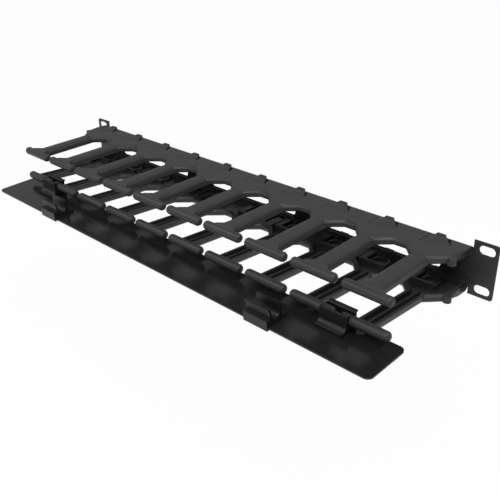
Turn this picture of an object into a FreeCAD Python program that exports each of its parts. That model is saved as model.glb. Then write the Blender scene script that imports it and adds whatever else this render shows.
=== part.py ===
import FreeCAD
import Part
import math
import os

# Horizontal cable manager for a 19 inch rack, one unit high.
# x to the right, y to the rear, z up. Origin: centre of the panel's front face.

# panel
panel_width = 482.6
panel_height = 43.66
panel_thickness = 1.2
ear_width = 19.3
ear_corner = 2.0
body_half_height = 15.2
slot_x = 232.55
slot_z = 15.875
slot_length = 12.5
slot_width = 7.0
opening_width = 108.0
opening_pitch = 144.0
opening_half_height = 9.8
opening_corner = 3.0
snap_slot_width = 9.0
snap_slot_height = 2.8
snap_slot_z = 12.1

# finger rows
finger_pitch = 45.0
row_half_length = 222.4
seam_gap = 0.1
tab_gap = 0.3
plate_z = 18.4
skin = 2.0
lip_height = 6.2
lip_wall = 3.4
lip_round = 1.8
rear_round = 5.4
flange_depth = 2.0
flange_low = 10.4
window_y = -30.5
web_sum = 48.1
stem_half = 7.1
stem_root_y = -38.0
stem_height = 6.0
stem_wall = 2.2
stem_round = 2.8
stem_top_front = 16.1
nub_radius = 3.2
tab_radius = 6.0
tab_y = -21.5

# round bars at the finger tips
bar_radius = 3.85
bar_y = -100.3
bar_z = 13.0
bar_half_length = 19.8
bar_sides = 12
disc_sides = 16
gusset_half = 10.4
gusset_base_y = -97.5

# snap tongues on the outer face of each finger root
tongue_rise = 1.0
tongue_front_y = -22.6
tongue_crest_y = -5.8
tongue_strip_y = -4.7
tongue_rear_y = -1.7
tongue_left = -12.0
tongue_right = -1.0
tongue_crest_left = -8.5
tongue_crest_right = 2.0
tongue_slit = 0.6
slot_depth = 1.5
tongue_toe_x = 8.6
tongue_toe_y = -13.6

# cover and its clips
cover_half_length = 230.8
cover_width = 41.1
cover_shift = 0.5
cover_thickness = 1.3
cover_corner = 5.0
cover_gap = 8.4
open_angle = 93.3
clip_length = 23.0
clip_wall = 1.5
clip_bore = 4.3
clip_reach = 14.3
clip_foot = 11.5
clip_wrap = 1.3
clip_under = 1.3
hinge_clip_x = 180.0
latch_clip_x = 135.0
latch_sweep = 21.68

V = FreeCAD.Vector
across = V(1, 0, 0)
upward = V(0, 0, 1)


def box(x0, x1, y0, y1, z0, z1):
    return Part.makeBox(x1 - x0, y1 - y0, z1 - z0, V(x0, y0, z0))


def face_xy(points, z):
    ring = [V(x, y, z) for x, y in points]
    return Part.Face(Part.makePolygon(ring + ring[:1]))


def prism_x(section, x0, x1):
    ring = [V(x0, y, z) for y, z in section]
    return Part.Face(Part.makePolygon(ring + ring[:1])).extrude(V(x1 - x0, 0, 0))


def solid_of(faces):
    shell = Part.Shell([Part.Face(Part.makePolygon(ring + ring[:1])) for ring in faces])
    shell.sewShape()
    body = Part.Solid(shell)
    return body if body.Volume > 0 else solid_of([ring[::-1] for ring in faces])


def through(rings):
    """Flat-sided solid through rings of the same number of points."""
    n = len(rings[0])
    faces = [rings[0][::-1], rings[-1]]
    for near, far in zip(rings[:-1], rings[1:]):
        faces += [[near[i], near[(i + 1) % n], far[(i + 1) % n], far[i]] for i in range(n)]
    return solid_of(faces)


def circle_points(n):
    turns = [2 * math.pi * (i + 0.5) / n for i in range(n)]
    return [(math.cos(t), math.sin(t)) for t in turns]


def disc(x, y, r, z0, z1):
    rim = [(x + r * u, y + r * w) for u, w in circle_points(disc_sides)]
    return face_xy(rim, z0).extrude(V(0, 0, z1 - z0))


def edges_at(shape, test):
    return [edge for edge in shape.Edges if test(edge.CenterOfMass, edge)]


def obround_y(x, z, length, width, y0, depth):
    half = length / 2 - width / 2
    bar = box(x - half, x + half, y0, y0 + depth, z - width / 2, z + width / 2)
    for end in (-half, half):
        bar = bar.fuse(Part.makeCylinder(width / 2, depth, V(x + end, y0, z), V(0, 1, 0)))
    return bar


def finger_centres():
    return [finger_pitch * (i - 4.5) for i in range(10)]


def tongue_centre(c):
    return c + (tongue_left + tongue_right) / 2


def rack_panel():
    """Steel sheet: low between the ears, full height at the ears, whose rear faces seat on the rails."""
    half = panel_width / 2
    inner = half - ear_width
    tall = panel_height / 2
    sheet = box(-inner, inner, 0, panel_thickness, -body_half_height, body_half_height)
    for x0, x1 in ((-half, -inner), (inner, half)):
        sheet = sheet.fuse(box(x0, x1, 0, panel_thickness, -tall, tall))
    corners = edges_at(sheet, lambda p, e: abs(abs(p.x) - half) < 0.1 and abs(abs(p.z) - tall) < 0.1)
    sheet = sheet.makeFillet(ear_corner, corners)
    cuts = []
    for x in (-slot_x, slot_x):
        for z in (-slot_z, slot_z):
            cuts.append(obround_y(x, z, slot_length, slot_width, -1, panel_thickness + 2))
    for i in (-1, 0, 1):
        mid = i * opening_pitch
        rim = []
        for sx, sz in ((1, 1), (-1, 1), (-1, -1), (1, -1)):
            rim += [V(mid + sx * (opening_width / 2 - opening_corner * (1 - u)), -1,
                      sz * (opening_half_height - opening_corner * (1 - w))) for u, w in
                    [(1, 0), (0.7, 0.7), (0, 1)][::sx * sz]]
        cuts.append(Part.Face(Part.makePolygon(rim + rim[:1])).extrude(V(0, panel_thickness + 2, 0)))
    for c in finger_centres():
        mid = tongue_centre(c)
        for side in (-1, 1):
            z = side * snap_slot_z
            cuts.append(box(mid - snap_slot_width / 2, mid + snap_slot_width / 2, -1, panel_thickness + 1,
                            z - snap_slot_height / 2, z + snap_slot_height / 2))
    return sheet.cut(cuts)


def row_outline(x0, x1, centres, first, last):
    """Plan of a module's skin, from the rear edge to the root of each stem."""
    run = []
    for c in centres:
        near = web_sum + window_y
        run += [(c - near, window_y), (c - stem_half, stem_half - web_sum),
                (c + stem_half, stem_half - web_sum), (c + near, window_y)]
    left = [(x0, 0), (x0, window_y)]
    right = [(x1, window_y), (x1, 0)]
    if first:
        left = [(x0, 0), (x0, -21.0)]
        run[0] = (x0 + 2.4, -22.5 - 7.2)
    if last:
        right = [(x1, -21.0), (x1, 0)]
        run[-1] = (x1 - 2.4, -22.5 - 7.2)
    return left + run + right


def sloped_prism(section, y0, y1):
    """Section given as (x, z) at y0, run forward to y1 and down with the finger's slope."""
    ring = [V(x, y0, z) for x, z in section]
    drop = (stem_top_front - plate_z) * (y1 - y0) / (bar_y - stem_root_y)
    return Part.Face(Part.makePolygon(ring + ring[:1])).extrude(V(0, y1 - y0, drop))


def stem(c):
    """U-section finger, open to the inside, with one rib down its middle."""
    y0 = stem_root_y
    low = plate_z - stem_height
    half = stem_half
    r = stem_round
    outer = sloped_prism([(c - half, low), (c - half, plate_z - r),
                          (c - half + 0.3 * r, plate_z - 0.3 * r), (c - half + r, plate_z),
                          (c + half - r, plate_z), (c + half - 0.3 * r, plate_z - 0.3 * r),
                          (c + half, plate_z - r), (c + half, low)],
                         y0, bar_y + 1.0)
    inside = half - stem_wall
    floor = plate_z - skin - 0.4
    hollow = sloped_prism([(c - inside, floor - 9), (c - inside, floor), (c + inside, floor),
                           (c + inside, floor - 9)], y0 + 3.0, bar_y + 3.0)
    rib = sloped_prism([(c - 0.75, low + 0.6), (c - 0.75, floor + 0.3), (c + 0.75, floor + 0.3),
                        (c + 0.75, low + 0.6)], y0 + 3.0, bar_y + 1.0)
    return outer, hollow, rib


def finger_tip(c):
    """Round bar and the gusset that rises to it from the stem."""
    end = bar_half_length
    stations = [(-end, 1.9), (1.0 - end, 3.2), (2.6 - end, bar_radius),
                (end - 2.6, bar_radius), (end - 1.0, 3.2), (end, 1.9)]
    bar = through([[V(c + t, bar_y + r * u, bar_z + r * w) for u, w in circle_points(bar_sides)]
                   for t, r in stations])
    apex_y = gusset_base_y + gusset_half
    low = stem_top_front - skin - 0.4
    plan = [(c, apex_y), (c - gusset_half, gusset_base_y), (c - gusset_half, bar_y),
            (c + gusset_half, bar_y), (c + gusset_half, gusset_base_y)]
    crest = bar_z + bar_radius - 0.15
    slope = (crest - stem_top_front - 0.1) / (apex_y - bar_y)
    base = [V(x, y, low) for x, y in plan]
    top = [V(x, y, crest - slope * (y - bar_y)) for x, y in plan]
    return [bar, through([base, top])]


def tongue(c):
    """Raised snap tongue: a ramp with a steep right side, a groove, and a strip at the rear edge."""
    root = plate_z - 0.6
    deep = plate_z - 2.5
    crest = plate_z + tongue_rise
    corners = [(c + tongue_left, tongue_front_y, plate_z), (c + tongue_toe_x, tongue_toe_y, plate_z),
               (c + tongue_crest_right, tongue_crest_y, crest),
               (c + tongue_crest_left, tongue_crest_y, crest), (c + tongue_left, tongue_crest_y, plate_z)]
    low = [V(x, y, root) for x, y, z in corners]
    top = [V(x, y, z) for x, y, z in corners]
    sides = [[low[i], low[(i + 1) % 5], top[(i + 1) % 5], top[i]] for i in range(5)]
    sides[2:4] = [[low[2], low[3], low[4], top[4], top[3], top[2]]]
    lids = [[top[0], top[1], top[2]], [top[0], top[2], top[3]], [top[0], top[3], top[4]]]
    ramp = solid_of([low[::-1]] + sides + lids)
    strip_y = (tongue_strip_y, tongue_strip_y, tongue_rear_y, tongue_rear_y)
    foot_x = (tongue_left, tongue_right, tongue_right, tongue_left)
    head_x = (tongue_crest_left, tongue_right - 0.6, tongue_right - 0.6, tongue_crest_left)
    strip = through([[V(c + x, y, deep) for x, y in zip(foot_x, strip_y)],
                     [V(c + x, y, crest) for x, y in zip(head_x, strip_y)]])
    mid = tongue_centre(c)
    half = snap_slot_width / 2 - 0.4
    shelf = snap_slot_z - snap_slot_height / 2 + 0.3
    barb = prism_x([(-3.0, shelf), (panel_thickness + 3.0, shelf), (panel_thickness + 0.3, shelf + 3.6),
                    (panel_thickness + 0.3, shelf + 2.0), (-3.0, shelf + 2.0)], mid - half, mid + half)
    return [ramp, strip, barb]


def side_slot(c):
    """Blind slot along the tongue's steep right side."""
    x0 = c + tongue_crest_right
    x1 = c + tongue_toe_x - 1.0
    y1 = tongue_toe_y - 1.0
    plan = [(x0, tongue_crest_y), (x1, y1), (x1 + 1.8, y1), (x0 + 3.0, tongue_crest_y)]
    return face_xy(plan, plate_z - slot_depth).extrude(V(0, 0, 8))


def inner_parts(c):
    """Raised platforms, rib and arch on the inside of one finger root."""
    top = plate_z - skin
    deep = plate_z - lip_height
    parts = [box(c - 19.5, c - 13.5, -21.0, -1.0, deep + 0.6, top + 0.1),
             box(c - 18.5, c + 4.5, -21.3, -19.0, deep + 0.6, top + 0.1),
             box(c + 3.0, c + 5.0, -21.3, -16.5, deep + 0.6, top + 0.1)]
    arc = [math.radians(-12 + 34.0 * i) for i in range(7)]
    plan = [(c - 3.5 + 7.6 * math.cos(t), -12.2 + 7.6 * math.sin(t)) for t in arc]
    plan += [(c - 3.5 + 5.4 * math.cos(t), -12.2 + 5.4 * math.sin(t)) for t in arc[::-1]]
    parts.append(face_xy(plan, top - 2.0).extrude(V(0, 0, 2.1)))
    return parts


def seam_parts(c, x0, x1, first, last, left_finger):
    """Raised platform and thin rib beside a seam between two modules."""
    top = plate_z - skin + 0.1
    level = plate_z - lip_height + 0.6
    if left_finger and not first:
        return [box(x0, c - 13.5, -21.0, -9.0, level, top)]
    if not left_finger and not last:
        return [box(x1 - 4.5, x1, -19.0, -9.0, level, top), box(x1 - 10.0, x1 - 8.0, -19.0, -1.0, level, top)]
    return []


def rear_rounding(x0, x1):
    """What the rounded rear edge takes off the skin, in flat steps."""
    r = rear_round
    arc = [math.radians(22.5 * i) for i in range(5)]
    steps = [(-r + r * math.sin(t), plate_z - r + r * math.cos(t)) for t in arc]
    return prism_x([(-r, plate_z + 1)] + steps + [(1.0, plate_z - r), (1.0, plate_z + 1)], x0 - 1, x1 + 1)


def finger_module(k):
    """One two-finger moulding of the upper row."""
    mid = finger_pitch * 2 * (k - 2)
    centres = [mid - finger_pitch / 2, mid + finger_pitch / 2]
    first = k == 0
    last = k == 4
    x0 = -row_half_length if first else mid - finger_pitch + seam_gap / 2
    x1 = row_half_length if last else mid + finger_pitch - seam_gap / 2
    base = plate_z - lip_height
    outline = row_outline(x0, x1, centres, first, last)
    body = face_xy(outline, base).extrude(V(0, 0, lip_height))
    corner_y = stem_half - web_sum
    middle = base + lip_height / 2
    front = edges_at(body, lambda p, e: -25 > p.y > corner_y + 0.2 and abs(p.z - middle) > 1)
    body = body.makeChamfer(lip_round, front)
    body = body.cut(rear_rounding(x0, x1))
    pocket = face_xy(outline, base).makeOffset2D(-lip_wall).extrude(V(0, 0, lip_height - skin))
    hollows = [pocket]
    stems = []
    adds = [box(x0, x1, -flange_depth, 0, flange_low, base + 0.6)]
    for i, c in enumerate(centres):
        outer, hollow, rib = stem(c)
        stems.append(outer)
        hollows.append(hollow)
        adds += [rib] + finger_tip(c) + tongue(c) + inner_parts(c)
        adds += seam_parts(c, x0, x1, first, last, i == 0)
    cuts = []
    for c in centres:
        slit_x = c + tongue_left
        cuts.append(box(slit_x - tongue_slit, slit_x, -21.5, 1, plate_z - skin - 1, plate_z + 5))
        cuts.append(side_slot(c))
    for x, free in ((x0, first), (x1, last)):
        cuts.append(box(x - 3, x + 3, -12.0 if free else -9.0, -2.0, base - 1, plate_z - skin))
    if first:
        adds.append(disc(x0 + 2.0, -26.8, nub_radius, base, plate_z - 1.0))
    if last:
        adds.append(disc(x1 - 1.1, -28.3, nub_radius, base, plate_z - 1.0))
    else:
        cuts.append(disc(x1, tab_y, tab_radius + tab_gap, plate_z - skin - 0.3, plate_z + 1.0))
    if not first:
        adds.append(disc(x0, tab_y, tab_radius, plate_z - skin, plate_z))
    body = body.fuse(stems).cut(hollows).fuse(adds).cut(cuts)
    return body.removeSplitter()


def mirrored(shape):
    return shape.mirror(V(0, 0, 0), upward)


def opened(shape):
    """Turn a part of the closed cover about the lower bars into the open rest pose."""
    turned = shape.copy()
    turned.rotate(V(0, bar_y, -bar_z), across, open_angle)
    return turned


def cover():
    inner_y = bar_y - cover_gap
    low = cover_shift - cover_width / 2
    high = cover_shift + cover_width / 2
    sheet = box(-cover_half_length, cover_half_length, inner_y - cover_thickness, inner_y, low, high)
    corners = edges_at(sheet, lambda p, e: abs(p.y - inner_y + cover_thickness / 2) < 0.01)
    return opened(sheet.makeFillet(cover_corner, corners))


def clip(x, side, latch):
    """Clip pushed over the cover's edge: side is -1 at the lower bars and 1 at the upper bars.

    Sections are drawn as (t, h): t from the bar's axis towards the cover's edge, h above its inner face.
    """
    inner_y = bar_y - cover_gap
    edge = cover_width / 2 - bar_z + side * cover_shift
    end = edge + clip_wrap
    jaw = clip_bore + clip_wall
    block = 6.0 if latch else 2.2

    def section(points):
        return prism_x([(inner_y + h, side * (bar_z + t)) for t, h in points],
                       x - clip_length / 2, x + clip_length / 2)

    body = section([(-clip_foot, 0), (-clip_foot, 2.5), (-10.8, 3.0), (-10.0, 2.0), (-8.2, 2.0),
                    (-jaw - 0.4, 3.9), (-jaw, 5.0), (-jaw, clip_reach - 0.5), (-jaw + 0.5, clip_reach),
                    (-clip_bore, clip_reach),
                    (-clip_bore, cover_gap), (clip_bore, cover_gap), (clip_bore, clip_reach - 1.6),
                    (jaw, clip_reach - 0.8), (jaw + 1.4, clip_reach - 0.8), (jaw + 1.4, clip_reach - 1.8),
                    (jaw, clip_reach - 2.4),
                    (jaw, block), (end, block - 0.6), (end, -cover_thickness - clip_under),
                    (3.6, -cover_thickness - clip_under), (3.6, -cover_thickness),
                    (edge, -cover_thickness), (edge, 0)])
    seat = Part.makeCylinder(clip_bore, clip_length + 2,
                             V(x - clip_length / 2 - 1, inner_y + cover_gap, side * bar_z), across)
    body = body.cut(seat)
    if latch:
        sweep = Part.makeCylinder(latch_sweep, clip_length + 2,
                                  V(x - clip_length / 2 - 1, inner_y + cover_gap, -bar_z), across)
        tip = section([(-clip_bore - clip_wall - 1.5, cover_gap + 1.0), (-clip_bore + 1, cover_gap + 1.0),
                       (-clip_bore + 1, clip_reach + 1), (-clip_bore - clip_wall - 1.5, clip_reach + 1)])
        body = body.cut(tip.cut(sweep))
    else:
        for way in (-1, 1):
            lip = section([(way * (clip_bore + 0.2), 11.6), (way * 3.4, 12.3), (way * 3.4, 12.6),
                           (way * (clip_bore + 0.2), 13.4)])
            body = body.fuse(lip)
    return opened(body.removeSplitter())


def main():
    os.makedirs("parts", exist_ok=True)
    rack_panel().exportStep("parts/rack_panel.step")
    for k in range(5):
        upper = finger_module(k)
        upper.exportStep("parts/finger_module_upper_%d.step" % (k + 1))
        mirrored(upper).exportStep("parts/finger_module_lower_%d.step" % (k + 1))
    cover().exportStep("parts/cover.step")
    for name, side in (("left", -1), ("right", 1)):
        clip(side * hinge_clip_x, -1, False).exportStep("parts/hinge_clip_%s.step" % name)
        clip(side * latch_clip_x, 1, True).exportStep("parts/latch_clip_%s.step" % name)


main()
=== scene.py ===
import math

import bmesh
import bpy
from bpy.props import FloatProperty, FloatVectorProperty, IntProperty, PointerProperty
from mathutils import Matrix, Vector


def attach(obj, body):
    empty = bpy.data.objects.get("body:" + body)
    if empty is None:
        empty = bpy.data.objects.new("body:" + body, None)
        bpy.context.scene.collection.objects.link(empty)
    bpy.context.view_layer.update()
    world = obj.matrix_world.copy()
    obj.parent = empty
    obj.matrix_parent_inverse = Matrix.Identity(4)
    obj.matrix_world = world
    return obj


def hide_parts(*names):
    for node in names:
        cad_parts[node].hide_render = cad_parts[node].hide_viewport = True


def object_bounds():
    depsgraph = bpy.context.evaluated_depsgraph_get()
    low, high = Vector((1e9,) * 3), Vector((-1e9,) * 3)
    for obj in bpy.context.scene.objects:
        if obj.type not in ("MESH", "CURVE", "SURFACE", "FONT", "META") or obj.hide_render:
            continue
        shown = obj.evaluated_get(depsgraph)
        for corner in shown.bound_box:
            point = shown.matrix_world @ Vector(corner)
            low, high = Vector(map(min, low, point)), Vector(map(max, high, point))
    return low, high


bl_info = {
    "name": "Rack cable manager",
    "version": (1, 0, 0),
    "blender": (4, 5, 0),
    "location": "3D Viewport > Sidebar > Cable manager",
    "description": "Dresses a one-unit rack cable manager with fingers and a hinged cover",
    "category": "Object",
}

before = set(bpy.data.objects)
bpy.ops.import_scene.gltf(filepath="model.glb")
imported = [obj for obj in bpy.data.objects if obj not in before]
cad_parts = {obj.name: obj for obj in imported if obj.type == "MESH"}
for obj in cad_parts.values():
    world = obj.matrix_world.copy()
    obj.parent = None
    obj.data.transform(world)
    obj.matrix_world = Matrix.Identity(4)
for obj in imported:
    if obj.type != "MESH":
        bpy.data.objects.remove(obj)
CAD_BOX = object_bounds()

MODULES = ["finger_module_%s_%d" % (row, number) for row in ("upper", "lower") for number in range(1, 6)]
CLIPS = ["hinge_clip_left", "hinge_clip_right", "latch_clip_left", "latch_clip_right"]

# Lengths in metres, turns in degrees
MERGE_DISTANCE = 0.000002
FLAT_ENOUGH = 0.5
SHARP_TURN = 40
SHORTEST_LONG_EDGE = 0.006
LIP_TURN = (42, 48)
LIP_DEPTH = (-0.0405, -0.029)
SHORTEST_LIP_EDGE = 0.004
# An edge is shaded round below the first turn, and from the second up to the crease angle
SHADED_TURN = (2.8, 14)

NOISE_SPAN = (0.3, 0.7)

FLOOR_REACH = 60.0
VIEW_RANGE = (0.01, 200.0)
LENS, SENSOR = 50.0, 36.0

# Softboxes: name, place, aim, size
KEY_SOFTBOX = ("key_softbox", (0.5, -0.15, 1.0), (0.1, -0.05, 0), (0.9, 0.6))
FRONT_SOFTBOX = ("front_softbox", (0.2, -0.8, 0.7), (0.05, -0.03, 0), (0.8, 0.5))
SIDE_SOFTBOX = ("side_softbox", (-0.75, -0.6, 0.75), (0, -0.05, 0), (0.6, 0.5))

# Roughness and grain scale of the two mouldings
MODULE_GRAIN = (0.40, 2400.0)
CLIP_GRAIN = (0.36, 2600.0)


class CableManagerProperties(bpy.types.PropertyGroup):
    """Sizes and colours of the cable manager and its stage."""

    lip_round: FloatProperty(
        name="Window lip round", description="How far the lips round the windows are worn into a round",
        default=0.0004, min=0.00005, max=0.0009, unit="LENGTH", precision=5)
    cover_round: FloatProperty(
        name="Cover edge round", description="Radius left on the edges of the cover sheet",
        default=0.0004, min=0.00005, max=0.0006, unit="LENGTH", precision=5)
    clip_round: FloatProperty(
        name="Clip edge round", description="Radius left on the edges of the clips",
        default=0.0003, min=0.00005, max=0.0006, unit="LENGTH", precision=5)
    crease_angle: FloatProperty(
        name="Crease angle", description="Edges that turn less than this are shaded round",
        default=math.radians(46), min=math.radians(10), max=math.radians(80), subtype="ANGLE", unit="ROTATION")
    module_colour: FloatVectorProperty(
        name="Module colour", description="Colour of the moulded finger modules",
        default=(0.026, 0.026, 0.027), size=3, min=0.0, max=1.0, subtype="COLOR")
    clip_colour: FloatVectorProperty(
        name="Clip colour", description="Colour of the moulded clips",
        default=(0.008, 0.008, 0.0085), size=3, min=0.0, max=1.0, subtype="COLOR")
    # Black plastic of the cover sheet, set darker still as painted shade for the shadow the fingers cast on it
    cover_tone_with_painted_shade: FloatVectorProperty(
        name="Cover colour", description="Colour of the extruded cover sheet",
        default=(0.010, 0.010, 0.0105), size=3, min=0.0, max=1.0, subtype="COLOR")
    panel_colour: FloatVectorProperty(
        name="Panel colour", description="Colour of the powder coat on the steel panel",
        default=(0.022, 0.022, 0.023), size=3, min=0.0, max=1.0, subtype="COLOR")
    stage_colour: FloatVectorProperty(
        name="Stage colour", description="Colour of the floor",
        default=(0.80, 0.80, 0.80), size=3, min=0.0, max=1.0, subtype="COLOR")
    floor_drop: FloatProperty(
        name="Floor drop", description="Height of the manager above the floor",
        default=0.16, min=0.0, max=1.0, unit="LENGTH")
    ambient: FloatProperty(
        name="Ambient light", description="Strength of the surroundings as a source of light",
        default=0.36, min=0.0, max=2.0)
    key_watts: FloatProperty(
        name="Key light", description="Power of the overhead softbox", default=8.0, min=0.0, unit="POWER")
    front_watts: FloatProperty(
        name="Front light", description="Power of the softbox in front", default=4.6, min=0.0, unit="POWER")
    side_watts: FloatProperty(
        name="Side light", description="Power of the softbox at the left", default=3.0, min=0.0, unit="POWER")
    floor_glow: FloatProperty(
        name="Floor glow", description="Share of plain white in the floor as the camera sees it",
        default=0.97, min=0.0, max=1.0, subtype="FACTOR")
    camera_azimuth: FloatProperty(
        name="Camera azimuth", description="Turn of the camera round the manager from its front",
        default=math.radians(44.758), subtype="ANGLE", unit="ROTATION")
    camera_elevation: FloatProperty(
        name="Camera elevation", description="Angle of the camera above the horizon",
        default=math.radians(26.487), subtype="ANGLE", unit="ROTATION")
    camera_roll: FloatProperty(
        name="Camera roll", description="Turn of the camera about its own line of sight",
        default=math.radians(-0.666), subtype="ANGLE", unit="ROTATION")
    camera_place: FloatVectorProperty(
        name="Camera place", description="Where the camera stands",
        default=(0.42094, -0.42720, 0.23665), size=3, subtype="XYZ", unit="LENGTH")
    round_steps: IntProperty(
        name="Round steps", description="Flat steps that make up a rounded edge",
        default=2, min=1, max=6)


class Value:
    """One output of a material's nodes, written in sums like a number."""

    def __init__(self, finish, socket):
        self.finish = finish
        self.socket = socket

    def _math(self, operation, first, second):
        return self.finish.node("ShaderNodeMath", {"operation": operation}, {0: first, 1: second})

    def __add__(self, other):
        return self._math("ADD", self, other)

    def __radd__(self, other):
        return self._math("ADD", other, self)

    def __mul__(self, other):
        return self._math("MULTIPLY", self, other)

    def __rmul__(self, other):
        return self._math("MULTIPLY", other, self)


class Finish:
    """A material and the one way its nodes are added."""

    def __init__(self, name, store=None):
        self.material = (bpy.data.materials if store is None else store).new(name)
        self.material.use_nodes = True
        self.tree = self.material.node_tree
        self.tree.nodes.clear()
        self.place = self.node("ShaderNodeTexCoord", {}, {}, "Object")

    def node(self, kind, settings, inputs, output=0):
        made = self.tree.nodes.new(kind)
        for key, setting in settings.items():
            setattr(made, key, setting)
        for key, given in inputs.items():
            if isinstance(given, Value):
                self.tree.links.new(given.socket, made.inputs[key])
            else:
                made.inputs[key].default_value = given
        return Value(self, made.outputs[output]) if len(made.outputs) else made

    def noise(self, scale, detail=3.0, roughness=0.5, place=None):
        return self.node("ShaderNodeTexNoise", {}, {
            "Vector": place or self.place, "Scale": scale, "Detail": detail, "Roughness": roughness})

    def stretched(self, x, y, z):
        return self.node("ShaderNodeMapping", {"vector_type": "POINT"},
                         {"Vector": self.place, "Scale": (x, y, z)})

    def between(self, value, low, high):
        """Spread a noise's usual span over the range from low to high."""
        return self.node("ShaderNodeMapRange", {"clamp": True},
                         {"Value": value, 1: NOISE_SPAN[0], 2: NOISE_SPAN[1], 3: low, 4: high})

    def mixed(self, factor, first, second):
        return self.node("ShaderNodeMix", {"data_type": "RGBA", "blend_type": "MIX"},
                         {"Factor": factor, 6: (*first, 1.0), 7: (*second, 1.0)}, 2)

    def bumped(self, height, distance, strength=1.0):
        return self.node("ShaderNodeBump", {}, {"Height": height, "Distance": distance, "Strength": strength})

    def close(self, shader):
        self.node("ShaderNodeOutputMaterial", {}, {"Surface": shader})
        return self.material


def shade(colour, factor):
    return tuple(min(1.0, channel * factor) for channel in colour)


def moulded_plastic(name, colour, roughness, grain):
    """Satin black moulding: fine spark-eroded grain, faint flow marks, and handling gloss in patches."""
    finish = Finish(name)
    fine = finish.noise(grain, 2.0, 0.6)
    patches = finish.noise(38.0, 4.0, 0.55)
    flow = finish.noise(60.0, 3.0, 0.5, finish.stretched(0.35, 2.2, 1.0))
    tone = finish.between(patches * 0.6 + flow * 0.4, 0.0, 1.0)
    surface = finish.node("ShaderNodeBsdfPrincipled", {}, {
        "Base Color": finish.mixed(tone, shade(colour, 0.86), shade(colour, 1.16)),
        "Roughness": finish.between(patches, roughness - 0.05, roughness + 0.06) + fine * 0.03,
        "Normal": finish.bumped(fine + flow * 0.8, 0.00004, 0.28),
        "IOR": 1.5,
        "Specular IOR Level": 0.3,
    })
    return finish.close(surface)


def extruded_sheet(name, colour):
    """Smooth extruded cover: long drawing lines, slight haze and a soft gloss."""
    finish = Finish(name)
    drawn = finish.noise(900.0, 2.0, 0.5, finish.stretched(0.01, 1.0, 1.0))
    haze = finish.noise(22.0, 4.0, 0.6)
    ripple = finish.noise(14.0, 2.0, 0.4, finish.stretched(0.5, 1.6, 1.6))
    surface = finish.node("ShaderNodeBsdfPrincipled", {}, {
        "Base Color": finish.mixed(finish.between(haze, 0.0, 1.0),
                                   shade(colour, 0.9), shade(colour, 1.12)),
        "Roughness": finish.between(haze, 0.13, 0.19) + drawn * 0.03,
        "Normal": finish.bumped(drawn * 0.15 + ripple, 0.00012, 0.3),
        "IOR": 1.5,
        "Specular IOR Level": 0.42,
    })
    return finish.close(surface)


def powder_coat(name, colour):
    """Fine-textured powder coat on steel: orange peel over a finer speckle."""
    finish = Finish(name)
    peel = finish.node("ShaderNodeTexVoronoi", {"feature": "SMOOTH_F1"},
                       {"Vector": finish.place, "Scale": 1500.0, "Smoothness": 1.0}, "Distance")
    speckle = finish.noise(2600.0, 2.0, 0.6)
    mottle = finish.noise(45.0, 4.0, 0.55)
    surface = finish.node("ShaderNodeBsdfPrincipled", {}, {
        "Base Color": finish.mixed(finish.between(mottle, 0.0, 1.0),
                                   shade(colour, 0.9), shade(colour, 1.15)),
        "Roughness": finish.between(mottle, 0.42, 0.52) + speckle * 0.05,
        "Normal": finish.bumped(peel + speckle * 0.4, 0.00005, 0.4),
        "IOR": 1.5,
        "Specular IOR Level": 0.3,
    })
    return finish.close(surface)


def direct_view(finish):
    """One for rays that the lens, a gloss or a clear body sends, none for the rest."""
    seen = [finish.node("ShaderNodeLightPath", {}, {}, name)
            for name in ("Is Camera Ray", "Is Glossy Ray", "Is Transmission Ray")]
    return finish.node("ShaderNodeMath", {"operation": "MAXIMUM"}, {
        0: seen[0], 1: finish.node("ShaderNodeMath", {"operation": "MAXIMUM"}, {0: seen[1], 1: seen[2]})})


def pale_floor(name, colour, glow):
    """Plain matt floor that shows white in direct view and still takes a soft shadow."""
    finish = Finish(name)
    cloud = finish.noise(6.0, 2.0, 0.5)
    matt = finish.node("ShaderNodeBsdfDiffuse", {}, {"Color": finish.mixed(
        cloud, shade(colour, 0.99), shade(colour, 1.0))})
    white = finish.node("ShaderNodeEmission", {}, {"Color": (1.0, 1.0, 1.0, 1.0), "Strength": 1.0})
    return finish.close(finish.node("ShaderNodeMixShader", {}, {
        0: direct_view(finish) * glow, 1: matt, 2: white}))


def studio_world(name, ambient):
    """Even, colourless surroundings."""
    finish = Finish(name, bpy.data.worlds)
    even = finish.node("ShaderNodeBackground", {}, {"Color": (1.0, 1.0, 1.0, 1.0), "Strength": ambient})
    finish.node("ShaderNodeOutputWorld", {}, {"Surface": even})
    return finish.material


def merged_copy(name, node):
    """A copy of a CAD node's mesh with its loose triangles joined into whole faces."""
    mesh = bpy.data.meshes.new(name)
    form = bmesh.new()
    form.from_mesh(node.data)
    bmesh.ops.remove_doubles(form, verts=form.verts, dist=MERGE_DISTANCE)
    bmesh.ops.dissolve_limit(form, angle_limit=math.radians(FLAT_ENOUGH), use_dissolve_boundaries=False,
                             verts=form.verts, edges=form.edges)
    return mesh, form


def round_edges(form, radius, steps, wanted):
    """Take the sharpness off the outer edges that are wanted, as a mould or a die leaves them."""
    outer = [edge for edge in form.edges if edge.is_convex and wanted(edge)]
    bmesh.ops.bevel(form, geom=outer, offset=radius, offset_type="OFFSET", segments=steps, profile=0.5,
                    affect="EDGES", material=-1, clamp_overlap=False)


def long_edge(edge):
    """The long outer edges of the sheet and the clips."""
    return edge.calc_face_angle(0.0) > math.radians(SHARP_TURN) and edge.calc_length() > SHORTEST_LONG_EDGE


def window_lip_edge(edge):
    """The two edges of the sloped band along a window's lip."""
    middle = (edge.verts[0].co + edge.verts[1].co) / 2
    turn = math.degrees(edge.calc_face_angle(0.0))
    return (LIP_TURN[0] < turn < LIP_TURN[1] and edge.calc_length() > SHORTEST_LIP_EDGE
            and LIP_DEPTH[0] < middle.y < LIP_DEPTH[1])


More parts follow.
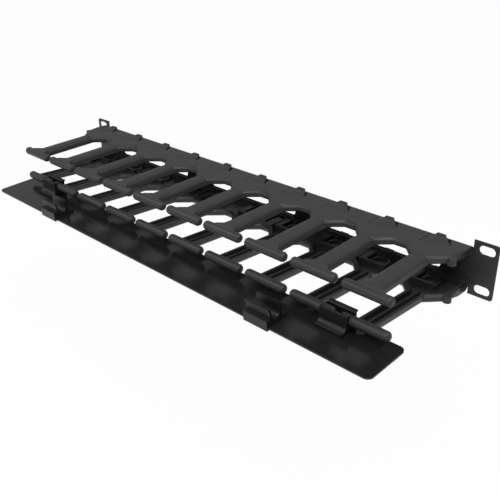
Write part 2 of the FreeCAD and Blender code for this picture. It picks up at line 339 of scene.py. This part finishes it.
def finished_piece(name, mesh, form, material, body, crease):
    """Write the worked form to an object, shade its round parts and hang it on its body."""
    flat, round_from = (math.radians(turn) for turn in SHADED_TURN)
    for face in form.faces:
        face.smooth = True
    for edge in form.edges:
        turn = edge.calc_face_angle(math.pi)
        edge.smooth = turn < flat or round_from < turn < crease
    form.to_mesh(mesh)
    form.free()
    piece = bpy.data.objects.new(name, mesh)
    bpy.context.scene.collection.objects.link(piece)
    piece.data.materials.clear()
    piece.data.materials.append(material)
    normals = piece.modifiers.new("Even shading", "WEIGHTED_NORMAL")
    normals.keep_sharp = True
    normals.weight = 50
    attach(piece, body)
    return piece


def dress_node(name, node_name, material, body, settings, width, wanted):
    """Stand a merged copy with rounded edges in the place of a CAD node."""
    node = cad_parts[node_name]
    mesh, form = merged_copy(name, node)
    round_edges(form, width, settings.round_steps, wanted)
    piece = finished_piece(name, mesh, form, material, body, settings.crease_angle)
    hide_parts(node_name)
    return piece


def named_material(name, maker, *given):
    return bpy.data.materials.get(name) or maker(name, *given)


class OBJECT_OT_dress_panel(bpy.types.Operator):
    """Powder-coat the steel rack panel"""
    bl_idname = "cable_manager.dress_panel"
    bl_label = "Rack panel"

    def execute(self, context):
        settings = context.scene.cable_manager
        coat = named_material("black_powder_coat", powder_coat, tuple(settings.panel_colour))
        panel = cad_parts["rack_panel"]
        panel.data.materials.clear()
        panel.data.materials.append(coat)
        return {"FINISHED"}


class OBJECT_OT_dress_modules(bpy.types.Operator):
    """Finish the ten finger modules as satin mouldings"""
    bl_idname = "cable_manager.dress_modules"
    bl_label = "Finger modules"

    def execute(self, context):
        settings = context.scene.cable_manager
        plastic = named_material("black_satin_moulding", moulded_plastic,
                                 tuple(settings.module_colour), *MODULE_GRAIN)
        for node_name in MODULES:
            dress_node(node_name + "_moulding", node_name, plastic, "manager",
                       settings, settings.lip_round, window_lip_edge)
        return {"FINISHED"}


class OBJECT_OT_dress_cover(bpy.types.Operator):
    """Finish the hinged cover as a smooth extruded sheet"""
    bl_idname = "cable_manager.dress_cover"
    bl_label = "Cover"

    def execute(self, context):
        settings = context.scene.cable_manager
        # The sheet's colour holds painted shade: it is darker than the plastic, standing in for the fingers'
        # shadow on the cover
        sheet = named_material("black_extruded_sheet", extruded_sheet, tuple(settings.cover_tone_with_painted_shade))
        dress_node("cover_sheet", "cover", sheet, "cover",
                   settings, settings.cover_round, long_edge)
        return {"FINISHED"}


class OBJECT_OT_dress_clips(bpy.types.Operator):
    """Finish the hinge and latch clips as small mouldings"""
    bl_idname = "cable_manager.dress_clips"
    bl_label = "Clips"

    def execute(self, context):
        settings = context.scene.cable_manager
        plastic = named_material("black_clip_moulding", moulded_plastic,
                                 tuple(settings.clip_colour), *CLIP_GRAIN)
        for node_name in CLIPS:
            dress_node(node_name + "_moulding", node_name, plastic, "cover",
                       settings, settings.clip_round, long_edge)
        return {"FINISHED"}


def area_light(name, place, aim, size, watts):
    lamp = bpy.data.lights.new(name, "AREA")
    lamp.shape = "RECTANGLE"
    lamp.size, lamp.size_y = size
    lamp.energy = watts
    holder = bpy.data.objects.new(name, lamp)
    bpy.context.scene.collection.objects.link(holder)
    holder.location = place
    holder.rotation_mode = "QUATERNION"
    holder.rotation_quaternion = (Vector(aim) - Vector(place)).to_track_quat("-Z", "Y")
    return holder


class OBJECT_OT_set_stage(bpy.types.Operator):
    """Lay the floor, hang the lamps and stand the camera"""
    bl_idname = "cable_manager.set_stage"
    bl_label = "Stage"

    def execute(self, context):
        settings = context.scene.cable_manager
        ground_level = CAD_BOX[0][2] - settings.floor_drop
        ground = bmesh.new()
        bmesh.ops.create_grid(ground, x_segments=1, y_segments=1, size=FLOOR_REACH,
                              matrix=Matrix.Translation((0, 0, ground_level)))
        mesh = bpy.data.meshes.new("floor")
        ground.to_mesh(mesh)
        ground.free()
        floor = bpy.data.objects.new("floor", mesh)
        context.scene.collection.objects.link(floor)
        mesh.materials.append(named_material("pale_floor", pale_floor,
                                             tuple(settings.stage_colour), settings.floor_glow))

        context.scene.world = studio_world("studio", settings.ambient)
        area_light(*KEY_SOFTBOX, settings.key_watts)
        area_light(*FRONT_SOFTBOX, settings.front_watts)
        area_light(*SIDE_SOFTBOX, settings.side_watts)

        azimuth, elevation = settings.camera_azimuth, settings.camera_elevation
        back = Vector((math.sin(azimuth) * math.cos(elevation), -math.cos(azimuth) * math.cos(elevation),
                       math.sin(elevation)))
        right = Vector((math.cos(azimuth), math.sin(azimuth), 0.0))
        level = Matrix((right, back.cross(right), back)).transposed()
        eye = bpy.data.cameras.new("camera")
        eye.lens = LENS
        eye.sensor_width = SENSOR
        eye.clip_start, eye.clip_end = VIEW_RANGE
        camera = bpy.data.objects.new("camera", eye)
        context.scene.collection.objects.link(camera)
        turned = level @ Matrix.Rotation(settings.camera_roll, 3, "Z")
        camera.matrix_world = Matrix.Translation(Vector(settings.camera_place)) @ turned.to_4x4()
        context.scene.camera = camera
        context.scene.view_settings.view_transform = "Standard"
        return {"FINISHED"}


class VIEW3D_PT_cable_manager(bpy.types.Panel):
    """The steps that dress the cable manager"""
    bl_label = "Cable manager"
    bl_idname = "VIEW3D_PT_cable_manager"
    bl_space_type = "VIEW_3D"
    bl_region_type = "UI"
    bl_category = "Cable manager"

    def draw(self, context):
        settings = context.scene.cable_manager
        for name in ("module_colour", "clip_colour", "cover_tone_with_painted_shade", "panel_colour", "lip_round",
                     "cover_round", "clip_round", "floor_drop"):
            self.layout.prop(settings, name)
        for step in STEPS:
            self.layout.operator(step.bl_idname)


STEPS = (OBJECT_OT_dress_panel, OBJECT_OT_dress_modules, OBJECT_OT_dress_cover, OBJECT_OT_dress_clips,
         OBJECT_OT_set_stage)
CLASSES = (CableManagerProperties, *STEPS, VIEW3D_PT_cable_manager)


def register():
    for kind in CLASSES:
        bpy.utils.register_class(kind)
    bpy.types.Scene.cable_manager = PointerProperty(type=CableManagerProperties)


def unregister():
    del bpy.types.Scene.cable_manager
    for kind in reversed(CLASSES):
        bpy.utils.unregister_class(kind)


def main():
    register()
    bpy.ops.cable_manager.dress_panel()
    bpy.ops.cable_manager.dress_modules()
    bpy.ops.cable_manager.dress_cover()
    bpy.ops.cable_manager.dress_clips()
    bpy.ops.cable_manager.set_stage()


if __name__ == "__main__":
    main()
